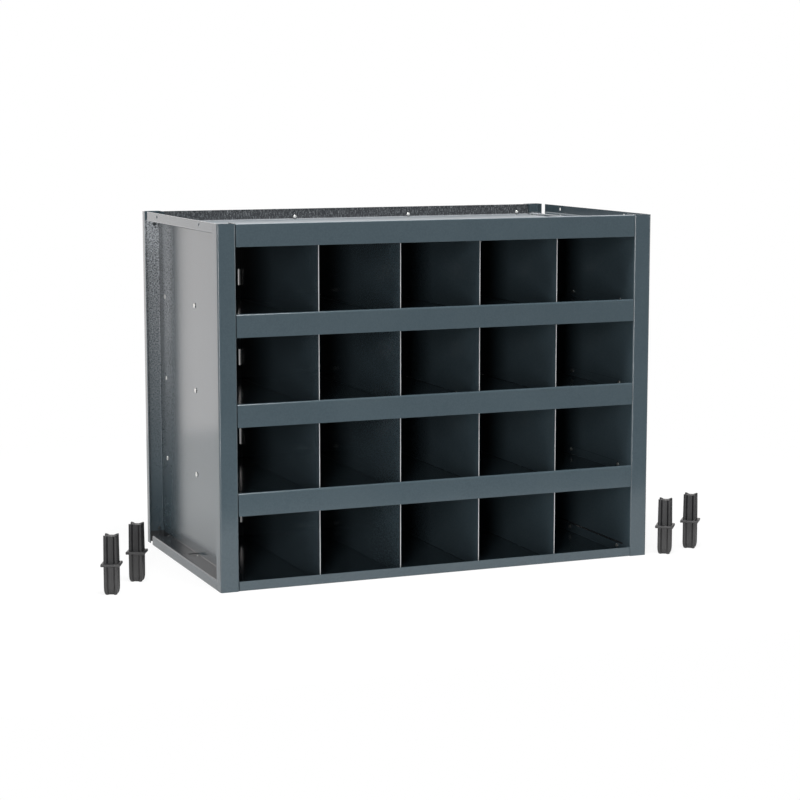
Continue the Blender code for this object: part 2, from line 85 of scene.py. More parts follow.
class EnamelSettings(bpy.types.PropertyGroup):
    """The textured enamel on all the sheet steel"""

    colour: bpy.props.FloatVectorProperty(
        name="Colour", description="Blue-grey of the enamel", subtype="COLOR", size=3,
        min=0.0, max=1.0, default=(0.0363, 0.0546, 0.0659))
    pale_colour: bpy.props.FloatVectorProperty(
        name="Thin coat", description="Colour where the enamel lies thinner", subtype="COLOR", size=3,
        min=0.0, max=1.0, default=(0.0503, 0.0700, 0.0816))
    roughness: bpy.props.FloatProperty(
        name="Roughness", description="Roughness of the glossiest enamel", min=0.0, max=1.0, default=0.12)
    roughness_spread: bpy.props.FloatProperty(
        name="Roughness spread", description="How much duller the dullest enamel is",
        min=0.0, max=1.0, default=0.07)
    peel_size: bpy.props.FloatProperty(
        name="Peel size", description="Width of one bump of the textured coat", unit="LENGTH",
        min=0.0002, default=0.0022)
    peel_depth: bpy.props.FloatProperty(
        name="Peel depth", description="Height of the bumps of the textured coat", unit="LENGTH",
        min=0.0, default=0.00005)
    # Painted shade: this dark grey darkens the rear corners of the side recesses, their feet and the tray's
    # rear rim
    primer_colour: bpy.props.FloatVectorProperty(
        name="Primer", description="Grey of the primer that shows where the spray hardly reached",
        subtype="COLOR", size=3, min=0.0, max=1.0, default=(0.024, 0.0262, 0.0290))
    # Partly painted light: the pale specks in the recesses, and on the top tray a painted sheen as well as
    # dust
    dry_colour: bpy.props.FloatVectorProperty(
        name="Dry spray", description="Grey of the rough dry specks where the spray hardly reached",
        subtype="COLOR", size=3, min=0.0, max=1.0, default=(0.33, 0.35, 0.37))
    # How far the painted shade and pale specks reach out of a rear corner
    dry_reach: bpy.props.FloatProperty(
        name="Dry reach", description="How far the thin dry coat reaches out of a rear corner", unit="LENGTH",
        min=0.001, default=0.060)
    dry_size: bpy.props.FloatProperty(
        name="Dry speck size", description="Width of one dry speck", unit="LENGTH",
        min=0.0002, default=0.0021)
    mist_roughness: bpy.props.FloatProperty(
        name="Mist roughness", description="How much duller the thin coat in a rear corner is",
        min=0.0, max=1.0, default=0.13)
    speck_roughness: bpy.props.FloatProperty(
        name="Speck roughness", description="How much duller a dry speck is", min=0.0, max=1.0, default=0.3)
    # Partly dust and partly painted sheen on the tray's floor, and a painted highlight on its rail's top
    haze: bpy.props.FloatProperty(
        name="Haze", description="How much of the dry spray's grey lies on the top tray", subtype="FACTOR",
        min=0.0, max=1.0, default=0.42)
    haze_roughness: bpy.props.FloatProperty(
        name="Haze roughness", description="How much duller the haze on the top tray is",
        min=0.0, max=1.0, default=0.40)
    haze_start: bpy.props.FloatProperty(
        name="Haze start", description="Where the haze on the tray's floor begins, from the rack's middle",
        unit="LENGTH", default=-0.10)
    haze_full: bpy.props.FloatProperty(
        name="Haze full", description="Where the haze on the tray's floor is full, from the rack's middle",
        unit="LENGTH", default=0.13)
    # Partly rubbed bare steel and partly painted highlight on the dividers' edges, and painted highlight on
    # the stiles' bends
    rubbed_colour: bpy.props.FloatVectorProperty(
        name="Rubbed edge", description="Grey of the steel where an edge or a bend is rubbed bare",
        subtype="COLOR", size=3, min=0.0, max=1.0, default=(0.40, 0.41, 0.42))
    # How far back the pale paint of a divider's front edge reaches, partly bare steel and partly painted
    # highlight
    rubbed_reach: bpy.props.FloatProperty(
        name="Rubbed reach", description="How far back a divider's front edge is rubbed bare", unit="LENGTH",
        min=0.0001, default=0.0005)
    # Painted highlight: how near to a bend's corner the front bends are painted pale
    rubbed_bend: bpy.props.FloatProperty(
        name="Rubbed bend", description="How near to a bend's sharp corner the front bends are rubbed bare",
        unit="LENGTH", min=0.0001, default=0.0013)
    edge_radius: bpy.props.FloatProperty(
        name="Edge radius", description="Rounding that deburring and paint give to a sheet's edge",
        unit="LENGTH", min=0.0, default=0.00022)


class RivetSettings(bpy.types.PropertyGroup):
    """The blind rivets that hold the shelves"""

    colour: bpy.props.FloatVectorProperty(
        name="Colour", description="Bright zinc plate", subtype="COLOR", size=3,
        min=0.0, max=1.0, default=(0.80, 0.80, 0.78))
    roughness: bpy.props.FloatProperty(
        name="Roughness", description="Roughness of the plate where it isn't scuffed", min=0.0, max=1.0,
        default=0.34)
    head_diameter: bpy.props.FloatProperty(
        name="Head diameter", description="Across a rivet's domed head", unit="LENGTH",
        min=0.001, default=0.0068)
    rim_head_diameter: bpy.props.FloatProperty(
        name="Rim head diameter", description="Across the head of a rivet in the rear rim", unit="LENGTH",
        min=0.001, default=0.0048)
    head_height: bpy.props.FloatProperty(
        name="Head height", description="Height of a rivet's domed head", unit="LENGTH",
        min=0.0002, default=0.0013)
    tail_diameter: bpy.props.FloatProperty(
        name="Tail diameter", description="Across a rivet's set tail", unit="LENGTH",
        min=0.001, default=0.0054)
    tail_height: bpy.props.FloatProperty(
        name="Tail height", description="Height of a rivet's set tail", unit="LENGTH",
        min=0.0002, default=0.0015)
    mandrel_diameter: bpy.props.FloatProperty(
        name="Mandrel diameter", description="Across the hollow that the snapped mandrel leaves",
        unit="LENGTH", min=0.0002, default=0.0020)
    mandrel_depth: bpy.props.FloatProperty(
        name="Mandrel depth", description="Depth of the hollow that the snapped mandrel leaves",
        unit="LENGTH", min=0.0, default=0.0005)
    flange_inset: bpy.props.FloatProperty(
        name="Flange rivet inset", unit="LENGTH", min=0.005, default=0.018,
        description="From a side panel's upper or lower end to the dark rivets in its rear flange")
    flange_reach: bpy.props.FloatProperty(
        name="Flange rivet reach", description="From the shelves' ends out to the dark rivets",
        unit="LENGTH", min=0.004, default=0.0075)


class EarSettings(bpy.types.PropertyGroup):
    """The bends at the roots of the ears that hold the dividers' rear edges"""

    size: bpy.props.FloatProperty(
        name="Bend size", description="Width and depth of a bend", unit="LENGTH", min=0.0002, default=0.0008)
    height: bpy.props.FloatProperty(
        name="Ear height", description="Height of an ear", unit="LENGTH", min=0.002, default=0.0223)
    place: bpy.props.FloatProperty(
        name="Bend place", description="From a divider's middle to the middle of a bend", unit="LENGTH",
        min=0.001, default=0.0021)
    rounding: bpy.props.FloatProperty(
        name="Rounding", description="Radius of a bend's edges", unit="LENGTH", min=0.0, default=0.0003)


class PinSettings(bpy.types.PropertyGroup):
    """The loose plastic stacking pins"""

    colour: bpy.props.FloatVectorProperty(
        name="Colour", description="Charcoal of the moulded plastic", subtype="COLOR", size=3,
        min=0.0, max=1.0, default=(0.0075, 0.0075, 0.0083))
    # Painted light: the paler grey of the lower end, which stands for light thrown up by the floor
    rubbed_colour: bpy.props.FloatVectorProperty(
        name="Rubbed end", description="Grey of the lower end, which is rubbed when it goes into a post",
        subtype="COLOR", size=3, min=0.0, max=1.0, default=(0.034, 0.0335, 0.034))
    scuff_colour: bpy.props.FloatVectorProperty(
        name="Scuffs", description="Grey of the scuffs and cloudy patches", subtype="COLOR", size=3,
        min=0.0, max=1.0, default=(0.035, 0.035, 0.036))
    # From a pin's middle up to where the painted light on the lower end stops
    collar_half: bpy.props.FloatProperty(
        name="Collar half", description="From a pin's middle up to where the rubbed end stops", unit="LENGTH",
        min=0.0, default=0.0018)
    gloss: bpy.props.FloatProperty(
        name="Gloss", description="Strength of the plastic's reflections", subtype="FACTOR",
        min=0.0, max=1.0, default=0.3)
    roughness: bpy.props.FloatProperty(
        name="Roughness", description="Roughness of the smoothest plastic", min=0.0, max=1.0, default=0.36)
    grain_size: bpy.props.FloatProperty(
        name="Grain size", description="Width of one grain of the moulded surface", unit="LENGTH",
        min=0.0001, default=0.0009)
    edge_radius: bpy.props.FloatProperty(
        name="Edge radius", description="Rounding of the moulded edges", unit="LENGTH",
        min=0.0, default=0.00035)


class StageSettings(bpy.types.PropertyGroup):
    """Camera, floor and lights"""

    camera_place: bpy.props.FloatVectorProperty(
        name="Camera place", description="Where the camera stands", subtype="TRANSLATION", size=3,
        default=(-1.0622, -2.62475, 0.6036))
    camera_turn: bpy.props.FloatVectorProperty(
        name="Camera turn", description="Which way the camera looks", subtype="EULER", size=3,
        default=(radians(82.0), 0.0, radians(-22.234)))
    lens: bpy.props.FloatProperty(
        name="Focal length", description="Focal length of the lens, in millimetres", min=10.0, default=94.36)
    floor_width: bpy.props.FloatProperty(
        name="Floor width", description="Width of the floor", unit="LENGTH", min=1.0, default=12.0)
    floor_front: bpy.props.FloatProperty(
        name="Floor front", description="How far the floor reaches before the rack", unit="LENGTH",
        min=0.3, default=0.6)
    floor_rear: bpy.props.FloatProperty(
        name="Floor rear", description="How far the floor reaches behind the rack", unit="LENGTH",
        min=0.5, default=1.1)
    shadow_share: bpy.props.FloatProperty(
        name="Shadow share", description="How much of the floor's own shade the white floor shows",
        subtype="FACTOR", min=0.0, max=1.0, default=0.14)
    shadow_near: bpy.props.FloatProperty(
        name="Shadow near", description="How far from the rack's middle the floor's shade starts to fade",
        unit="LENGTH", min=0.0, default=0.55)
    shadow_far: bpy.props.FloatProperty(
        name="Shadow far", description="How far from the rack's middle the floor's shade has faded out",
        unit="LENGTH", min=0.1, default=1.1)
    strip_spare: bpy.props.FloatProperty(
        name="Strip spare", unit="LENGTH", min=0.0, default=0.006,
        description="How far the dark strip of floor reaches out to both sides of the right side panel")
    floor_mirrored: bpy.props.FloatProperty(
        name="Floor in reflections", description="How much of its white the floor shows in reflections",
        subtype="FACTOR", min=0.0, max=1.0, default=0.5)
    world_mirrored: bpy.props.FloatProperty(
        name="World in reflections", description="How much of its white the world shows in reflections",
        subtype="FACTOR", min=0.0, max=1.0, default=0.2)
    ambient: bpy.props.FloatProperty(
        name="Ambient", description="Strength of the soft light from all round", min=0.0, default=0.07)


class RackSettings(bpy.types.PropertyGroup):
    """All that a user would change on the rack"""

    enamel: bpy.props.PointerProperty(type=EnamelSettings)
    rivets: bpy.props.PointerProperty(type=RivetSettings)
    ears: bpy.props.PointerProperty(type=EarSettings)
    pins: bpy.props.PointerProperty(type=PinSettings)
    stage: bpy.props.PointerProperty(type=StageSettings)


def add_node(tree, kind, inputs=None, **settings):
    """Adds a node. An input given as a socket is linked, and any other value is set."""
    made = tree.nodes.new(kind)
    made.location = (200 * len(tree.nodes), 0)
    for name, value in settings.items():
        setattr(made, name, value)
    for key, value in (inputs or {}).items():
        if isinstance(value, bpy.types.NodeSocket):
            tree.links.new(value, made.inputs[key])
        else:
            made.inputs[key].default_value = value
    return made


def calc(tree, operation, *values):
    """A math node's result. It serves shader trees and geometry trees alike."""
    return add_node(tree, "ShaderNodeMath", dict(enumerate(values)), operation=operation).outputs[0]


def product(tree, first, *others):
    """Several factors or masks multiplied together."""
    for other in others:
        first = calc(tree, "MULTIPLY", first, other)
    return first


def remap(tree, value, first, last, low=0.0, high=1.0, smooth=False):
    """A value's way from first to last, turned into a way from low to high that stops at its ends."""
    made = add_node(
        tree, "ShaderNodeMapRange",
        {"Value": value, "From Min": first, "From Max": last, "To Min": low, "To Max": high},
        interpolation_type="SMOOTHSTEP" if smooth else "LINEAR")
    return made.outputs[0]


def noise(tree, place, scale, detail, roughness=0.5):
    """Soft noise round a middle of 0.5."""
    made = add_node(
        tree, "ShaderNodeTexNoise",
        {"Vector": place, "Scale": scale, "Detail": detail, "Roughness": roughness})
    return made.outputs[0]


def object_place(tree):
    """The place that is being shaded, in metres."""
    return add_node(tree, "ShaderNodeTexCoord").outputs["Object"]


def split_axes(tree, place):
    """The X, Y and Z of a place."""
    return add_node(tree, "ShaderNodeSeparateXYZ", {0: place}).outputs


def mix_colours(tree, factor, first, second):
    """A mix of two colours by a factor."""
    made = tree.nodes.new("ShaderNodeMix")
    made.data_type = "RGBA"
    sockets = {socket.identifier: socket for socket in made.inputs}
    tree.links.new(factor, sockets["Factor_Float"])
    for key, value in (("A_Color", first), ("B_Color", second)):
        if isinstance(value, bpy.types.NodeSocket):
            tree.links.new(value, sockets[key])
        else:
            sockets[key].default_value = (*value, 1.0)
    return next(socket for socket in made.outputs if socket.identifier == "Result_Color")


def new_group(name, kind, inputs, outputs):
    """An empty node group with its sockets, and its input and output nodes."""
    tree = bpy.data.node_groups.new(name, kind)
    for label, socket_type, default in inputs:
        socket = tree.interface.new_socket(label, in_out="INPUT", socket_type=socket_type)
        if default is not None:
            socket.default_value = default
    for label, socket_type in outputs:
        tree.interface.new_socket(label, in_out="OUTPUT", socket_type=socket_type)
    start = tree.nodes.new("NodeGroupInput")
    end = tree.nodes.new("NodeGroupOutput")
    return tree, start.outputs, end


def new_shader_group(name, inputs, outputs):
    """An empty shader group, whose sockets all carry plain numbers."""
    return new_group(
        name, "ShaderNodeTree",
        [(label, "NodeSocketFloat", default) for label, default in inputs.items()],
        [(label, "NodeSocketFloat") for label in outputs])


def deliver(tree, end, **results):
    """Links a group's results to its outputs of the same names."""
    for label, socket in results.items():
        tree.links.new(socket, end.inputs[label])


def surface_grain_group(name):
    """Bumps of a sprayed or moulded surface: broad soft cells with a finer grain on them."""
    tree, given, end = new_shader_group(name, {"Size": 0.002, "Fine share": 0.35}, ("Height", "Speckle"))
    place = object_place(tree)
    scale = calc(tree, "DIVIDE", 1.0, given["Size"])
    cells = add_node(
        tree, "ShaderNodeTexVoronoi",
        {"Vector": place, "Scale": scale, "Smoothness": 0.7, "Randomness": 0.9}, feature="SMOOTH_F1")
    fine = noise(tree, place, calc(tree, "MULTIPLY", scale, 2.6), detail=3.0, roughness=0.6)
    fine_part = calc(tree, "MULTIPLY", fine, given["Fine share"])
    height = calc(tree, "SUBTRACT", fine_part, cells.outputs["Distance"])
    deliver(tree, end, Height=height, Speckle=remap(tree, height, -0.45, 0.15))
    return tree


def tone_drift_group(name):
    """Slow change of tone over a surface, with faint cloudy patches."""
    tree, given, end = new_shader_group(name, {"Patch size": 0.08, "Contrast": 1.0}, ("Drift",))
    scale = calc(tree, "DIVIDE", 1.0, given["Patch size"])
    cloud = noise(tree, object_place(tree), scale, detail=5.0, roughness=0.55)
    spread = calc(tree, "MULTIPLY", calc(tree, "SUBTRACT", cloud, 0.5), given["Contrast"])
    drift = add_node(tree, "ShaderNodeClamp", {"Value": calc(tree, "ADD", spread, 0.5)})
    deliver(tree, end, Drift=drift.outputs[0])
    return tree


def scuff_group(name):
    """Fine handling scuffs: thin broken lines where a surface has been rubbed."""
    tree, given, end = new_shader_group(name, {"Spacing": 0.02, "Amount": 0.5}, ("Scuff",))
    turned = add_node(
        tree, "ShaderNodeMapping",
        {"Vector": object_place(tree), "Rotation": (0.5, 0.3, 0.7), "Scale": (1.0, 0.12, 0.35)})
    scale = calc(tree, "DIVIDE", 1.0, given["Spacing"])
    lines = noise(tree, turned.outputs[0], scale, detail=8.0, roughness=0.7)
    deliver(tree, end, Scuff=product(tree, remap(tree, lines, 0.62, 0.74), given["Amount"]))
    return tree


def dry_spray_group(name):
    """The thin dry coat where the spray gun hardly reached, which also paints shade and light: in the rear
    corners of the side recesses, most of all in their upper parts, at the recesses' feet and on the rear rim
    of the tray. The specks stand on it, and the mist is the coat
    between them: the mist's dark grey is painted shade in these corners, and the pale specks are partly
    painted light, most in the upper recesses. The outsides of the rear and top flanges are free of it."""
    tree, given, end = new_shader_group(
        name, {"Speck size": 0.002, "Reach": 0.07, "Side": 0.28, "Lip": 0.296, "Rear": 0.16, "End": 0.17,
               "Seat": 0.155, "Top": 0.46, "Flange": 0.012, "Rim": 0.015, "Low": 0.014},
        ("Specks", "Mist", "Dullness", "Height"))
    place = object_place(tree)
    axes = split_axes(tree, place)
    across = calc(tree, "ABSOLUTE", axes["X"])
    depth = calc(tree, "SUBTRACT", given["Rear"], axes["Y"])
    in_recess = product(
        tree, calc(tree, "GREATER_THAN", across, given["Side"]),
        calc(tree, "LESS_THAN", across, given["Lip"]),
        calc(tree, "LESS_THAN", axes["Y"], given["End"]),
        calc(tree, "LESS_THAN", axes["Z"], calc(tree, "SUBTRACT", given["Top"], given["Flange"])))
    # Both the dark mist and the pale specks grow towards the top of a recess, where the specks add painted
    # light
    upper = remap(tree, calc(tree, "DIVIDE", axes["Z"], given["Top"]), 0.1, 1.05, smooth=True)
    near_start = calc(tree, "MULTIPLY", given["Reach"], 0.2)
    near = remap(tree, depth, near_start, given["Reach"], 1.0, 0.0, smooth=True)
    recess = product(tree, near, in_recess, upper)
    at_flange = calc(tree, "LESS_THAN", depth, 0.0)
    rim = product(
        tree, calc(tree, "GREATER_THAN", axes["Z"], calc(tree, "SUBTRACT", given["Top"], given["Rim"])),
        calc(tree, "LESS_THAN", across, given["Side"]),
        calc(tree, "LESS_THAN", axes["Y"], given["Seat"]), at_flange)
    behind_front = calc(tree, "GREATER_THAN", axes["Y"], calc(tree, "MULTIPLY", given["Rear"], -1.0))
    # The recesses' feet get the dark mist as painted shade
    at_foot = product(tree, calc(tree, "LESS_THAN", axes["Z"], given["Low"]), in_recess, behind_front)

    # The web is specked nearly twice as thickly as the flange, and the rim in upright streaks
    scale = calc(tree, "DIVIDE", 1.0, given["Speck size"])
    grit = noise(tree, place, scale, detail=4.0, roughness=0.75)
    thick = calc(tree, "MULTIPLY_ADD", at_flange, -0.9, 1.9)
    drawn = add_node(tree, "ShaderNodeMapping", {"Vector": place, "Scale": (1.0, 1.0, 0.2)})
    runs = noise(tree, drawn.outputs[0], calc(tree, "MULTIPLY", scale, 1.7), detail=2.0)
    streaks = remap(tree, runs, 0.46, 0.64, 0.05, 0.48)
    cover = calc(tree, "MULTIPLY_ADD", rim, streaks, calc(tree, "MULTIPLY", recess, thick))
    blur_end = calc(tree, "MULTIPLY", given["Reach"], 2.8)
    blur = remap(tree, depth, 0.0, blur_end, 1.0, 0.0, smooth=True)
    deliver(
        tree, end, Specks=product(tree, remap(tree, grit, 0.40, 0.62), cover),
        Mist=calc(tree, "MAXIMUM", calc(tree, "MAXIMUM", recess, rim), at_foot),
        Dullness=product(tree, blur, in_recess), Height=product(tree, grit, cover))
    return tree


def rubbed_edge_group(name):
    """Where an edge at the front is painted pale, partly as paint that hands and parts have rubbed off and
    partly as a painted highlight.
    """
    tree, given, end = new_shader_group(name, {"Edge": -0.16, "Reach": 0.0005}, ("Bare",))
    place = object_place(tree)
    behind = calc(tree, "SUBTRACT", split_axes(tree, place)["Y"], given["Edge"])
    inward = calc(tree, "DIVIDE", behind, given["Reach"])
    limit = calc(tree, "ADD", noise(tree, place, 160.0, detail=4.0, roughness=0.6), 0.5)
    deliver(tree, end, Bare=remap(tree, calc(tree, "SUBTRACT", limit, inward), -0.1, 0.3))
    return tree


def rubbed_bend_group(name):
    """A painted highlight on the upright bends of the front stiles, strongest near the top, where the light
    catches them.
    """
    tree, given, end = new_shader_group(
        name, {"Inner": 0.2765, "Outer": 0.3005, "Front": -0.171, "Top": 0.46, "Reach": 0.0013}, ("Bare",))
    place = object_place(tree)
    axes = split_axes(tree, place)
    across = calc(tree, "ABSOLUTE", axes["X"])
    from_inner = calc(tree, "ABSOLUTE", calc(tree, "SUBTRACT", across, given["Inner"]))
    from_outer = calc(tree, "ABSOLUTE", calc(tree, "SUBTRACT", across, given["Outer"]))
    from_corner = add_node(
        tree, "ShaderNodeCombineXYZ",
        {"X": calc(tree, "MINIMUM", from_inner, from_outer),
         "Y": calc(tree, "SUBTRACT", axes["Y"], given["Front"]), "Z": 0.0})
    distance = add_node(tree, "ShaderNodeVectorMath", {0: from_corner.outputs[0]}, operation="LENGTH")
    patchy = noise(tree, place, 90.0, detail=5.0, roughness=0.65)
    limit = calc(tree, "MULTIPLY", given["Reach"], calc(tree, "MULTIPLY_ADD", patchy, 0.5, 0.8))
    # The painted highlight grows from the foot of a stile to its top
    most = remap(tree, axes["Z"], 0.0, given["Top"], 0.03, 0.14)
    faded = calc(tree, "MULTIPLY", limit, 1.2)
    deliver(tree, end, Bare=remap(tree, distance.outputs["Value"], limit, faded, most, 0.0))
    return tree


SHADER_GROUPS = {
    "Surface grain": surface_grain_group,
    "Tone drift": tone_drift_group,
    "Handling scuffs": scuff_group,
    "Dry spray": dry_spray_group,
    "Rubbed edge": rubbed_edge_group,
    "Rubbed bend": rubbed_bend_group,
}


def new_material(name):
    """A material with an empty tree, and its Principled shader wired to the output."""
    made = bpy.data.materials.new(name)
    made.use_nodes = True
    tree = made.node_tree
    tree.nodes.clear()
    shader = add_node(tree, "ShaderNodeBsdfPrincipled")
    add_node(tree, "ShaderNodeOutputMaterial", {"Surface": shader.outputs[0]})
    return made, tree, shader


def use_group(tree, name, **values):
    """Places a shared shader group, which its first use makes, and sets its inputs by name, with underscores
    for spaces."""
    group = bpy.data.node_groups.get(name) or SHADER_GROUPS[name](name)
    made = add_node(tree, "ShaderNodeGroup", node_tree=group)
    for key, value in values.items():
        made.inputs[key.replace("_", " ")].default_value = value
    return made.outputs


def add_bump(tree, shader, height, depth, strength):
    """Lets a height bend the light on a shader's surface."""
    bump = add_node(tree, "ShaderNodeBump", {"Height": height, "Distance": depth, "Strength": strength})
    tree.links.new(bump.outputs[0], shader.inputs["Normal"])


def enamel_material(name, settings, worn=None, dulled=None):
    """Semi-gloss blue-grey enamel with a fine pebbled texture and a thin dry coat in the rear corners, whose
    dark mist is painted shade and whose pale specks are partly painted light. It is painted pale where the
    first mask says, partly as rubbed bare steel and partly as painted highlight, and pale and dull where the
    second says, partly as dust and partly as painted sheen: both give a mask in the tree."""
    made, tree, shader = new_material(name)
    grain = use_group(tree, "Surface grain", Size=settings.peel_size, Fine_share=0.45)
    drift = use_group(tree, "Tone drift", Patch_size=0.09, Contrast=1.4)
    scuffs = use_group(tree, "Handling scuffs", Spacing=0.018, Amount=0.35)
    dry = use_group(
        tree, "Dry spray", Speck_size=settings.dry_size, Reach=settings.dry_reach,
        Side=WEB_SIDE, Lip=LIP_SIDE - PANEL_SHEET / 2, Rear=BACK_LOW.y, End=PANEL_HIGH.y - PANEL_SHEET / 2,
        Seat=BACK_MIDDLE, Top=PANEL_HIGH.z, Flange=TOP_FLANGE_DEPTH, Rim=PANEL_HIGH.z - DIVIDER_TOP,
        Low=LOW_FLANGE_TOP)
    tone = calc(tree, "MULTIPLY_ADD", grain["Speckle"], 0.45, calc(tree, "MULTIPLY", drift["Drift"], 0.55))
    coat = mix_colours(tree, tone, settings.colour, settings.pale_colour)
    # Painted shade: the dark grey mist in the rear corners, at the recesses' feet and on the rim
    thin = mix_colours(tree, dry["Mist"], coat, settings.primer_colour)
    # Pale dry specks on top, partly painted light in the upper recesses
    finish = mix_colours(tree, dry["Specks"], thin, settings.dry_colour)
    dullness = calc(tree, "ADD", calc(tree, "MULTIPLY", drift["Drift"], 0.6), scuffs["Scuff"])
    sprayed = calc(tree, "MULTIPLY_ADD", dullness, settings.roughness_spread, settings.roughness)
    misted = calc(tree, "MULTIPLY_ADD", dry["Dullness"], settings.mist_roughness, sprayed)
    roughness = calc(tree, "MULTIPLY_ADD", dry["Specks"], settings.speck_roughness, misted)
    # Pale edges and bends: partly rubbed bare steel, partly painted highlight
    if worn is not None:
        finish = mix_colours(tree, worn(tree, settings), finish, settings.rubbed_colour)
    # Pale and dull on the top tray: partly dust, partly a painted sheen
    if dulled is not None:
        haze = dulled(tree, settings)
        finish = mix_colours(tree, calc(tree, "MULTIPLY", haze, settings.haze), finish, settings.dry_colour)
        roughness = calc(tree, "MULTIPLY_ADD", haze, settings.haze_roughness, roughness)
    tree.links.new(finish, shader.inputs["Base Color"])
    tree.links.new(roughness, shader.inputs["Roughness"])
    bumps = calc(tree, "MULTIPLY_ADD", dry["Height"], 1.5, grain["Height"])
    add_bump(tree, shader, bumps, settings.peel_depth, strength=0.6)
    return made


def divider_wear(tree, settings):
    """The dividers' front edges, painted pale partly as rubbed bare steel and partly as a painted highlight.
    """
    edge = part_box(DIVIDER_NODES[0])[0].y
    return use_group(tree, "Rubbed edge", Edge=edge, Reach=settings.rubbed_reach)["Bare"]


def stile_wear(tree, settings):
    """The painted highlight on the bends at both sides of the front stiles."""
    return use_group(
        tree, "Rubbed bend", Inner=WEB_SIDE, Outer=LIP_SIDE, Front=PANEL_LOW.y, Top=PANEL_HIGH.z,
        Reach=settings.rubbed_bend)["Bare"]


def tray_haze(tree, settings):
    """Where the tray is painted pale, partly as dust that the spray let fall and partly as a painted sheen: a
    haze that thickens to the rear of the tray's floor, and the top of the tray's front rail, where it is a
    painted highlight."""
    place = object_place(tree)
    axes = split_axes(tree, place)
    above_underside = calc(tree, "GREATER_THAN", axes["Z"], DIVIDER_TOP + HAZE_SKIN)
    below_rim = calc(tree, "LESS_THAN", axes["Z"], DIVIDER_TOP + 3 * HAZE_SKIN)
    to_rear = remap(tree, axes["Y"], settings.haze_start, settings.haze_full, smooth=True)
    grains = remap(tree, noise(tree, place, 260.0, detail=4.0, roughness=0.7), 0.36, 0.62, 0.8, 1.0)
    on_floor = product(tree, above_underside, below_rim, to_rear, grains)
    # On the rail's top the pale grey is a painted highlight
    on_rail = product(
        tree, calc(tree, "GREATER_THAN", axes["Z"], PANEL_HIGH.z - HAZE_SKIN),
        calc(tree, "LESS_THAN", axes["Y"], 0.0))
    return calc(tree, "MAXIMUM", on_floor, on_rail)


def zinc_material(settings):
    """Bright zinc plate, faintly clouded and rubbed."""
    made, tree, shader = new_material("bright_zinc")
    shader.inputs["Metallic"].default_value = 1.0
    drift = use_group(tree, "Tone drift", Patch_size=0.0012, Contrast=1.6)
    scuffs = use_group(tree, "Handling scuffs", Spacing=0.0016, Amount=0.8)
    dull = [share * 0.72 for share in settings.colour]
    tree.links.new(mix_colours(tree, drift["Drift"], settings.colour, dull), shader.inputs["Base Color"])
    dullness = calc(tree, "MULTIPLY_ADD", scuffs["Scuff"], 0.2, settings.roughness)
    tree.links.new(dullness, shader.inputs["Roughness"])
    add_bump(tree, shader, drift["Drift"], depth=0.00004, strength=0.5)
    return made


def dark_rivet_material(settings):
    """Nearly black colour on the rivets in the rear flanges: painted shade for the dark rear corners there.
    """
    made, tree, shader = new_material("dark_rivet_paint")
    drift = use_group(tree, "Tone drift", Patch_size=0.0020, Contrast=1.6)
    grain = use_group(tree, "Surface grain", Size=0.0006, Fine_share=0.5)
    # Painted shade: the rivets are darkened far below the enamel
    dark = [share * 0.15 for share in settings.colour]
    pale = [share * 0.35 for share in settings.colour]
    tree.links.new(mix_colours(tree, drift["Drift"], dark, pale), shader.inputs["Base Color"])
    tree.links.new(calc(tree, "MULTIPLY_ADD", grain["Speckle"], 0.2, 0.5), shader.inputs["Roughness"])
    add_bump(tree, shader, grain["Height"], depth=0.00003, strength=0.5)
    return made


def plastic_material(settings):
    """Charcoal moulded plastic with a satin spark-eroded grain, painted paler below the collar as painted
    light from the floor below.
    """
    made, tree, shader = new_material("charcoal_plastic")
    grain = use_group(tree, "Surface grain", Size=settings.grain_size, Fine_share=0.6)
    drift = use_group(tree, "Tone drift", Patch_size=0.014, Contrast=1.8)
    scuffs = use_group(tree, "Handling scuffs", Spacing=0.006, Amount=0.6)
    collar_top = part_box(PIN_NODES[0])[1].z / 2 + settings.collar_half
    # Painted light: the lower end is made paler, as if lit from the floor below
    lower = calc(tree, "LESS_THAN", split_axes(tree, object_place(tree))["Z"], collar_top)
    body = mix_colours(tree, lower, settings.colour, settings.rubbed_colour)
    tone = calc(tree, "MULTIPLY_ADD", scuffs["Scuff"], 0.3, calc(tree, "MULTIPLY", drift["Drift"], 0.3))
    tree.links.new(mix_colours(tree, tone, body, settings.scuff_colour), shader.inputs["Base Color"])
    shader.inputs["Specular IOR Level"].default_value = settings.gloss
    dullness = calc(tree, "MULTIPLY_ADD", grain["Speckle"], 0.12, settings.roughness)
    tree.links.new(dullness, shader.inputs["Roughness"])
    add_bump(tree, shader, grain["Height"], depth=0.00005, strength=0.5)
    return made


def finish_node(name, material, edge_radius):
    """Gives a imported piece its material, and rounds its edges without touching its mesh."""
    obj = NODES[name]
    obj.data.materials.clear()
    obj.data.materials.append(material)
    obj.data.shade_smooth()
    weld = obj.modifiers.new("Join facets", "WELD")
    weld.merge_threshold = WELD_REACH
    flat = obj.modifiers.new("Whole faces", "DECIMATE")
    flat.decimate_type = "DISSOLVE"
    flat.angle_limit = FLAT_ANGLE
    bevel = obj.modifiers.new("Edge radius", "BEVEL")
    bevel.width = edge_radius
    bevel.segments = 2
    bevel.limit_method = "ANGLE"
    bevel.angle_limit = EDGE_ANGLE
    normals = obj.modifiers.new("Flat faces", "WEIGHTED_NORMAL")
    normals.keep_sharp = True


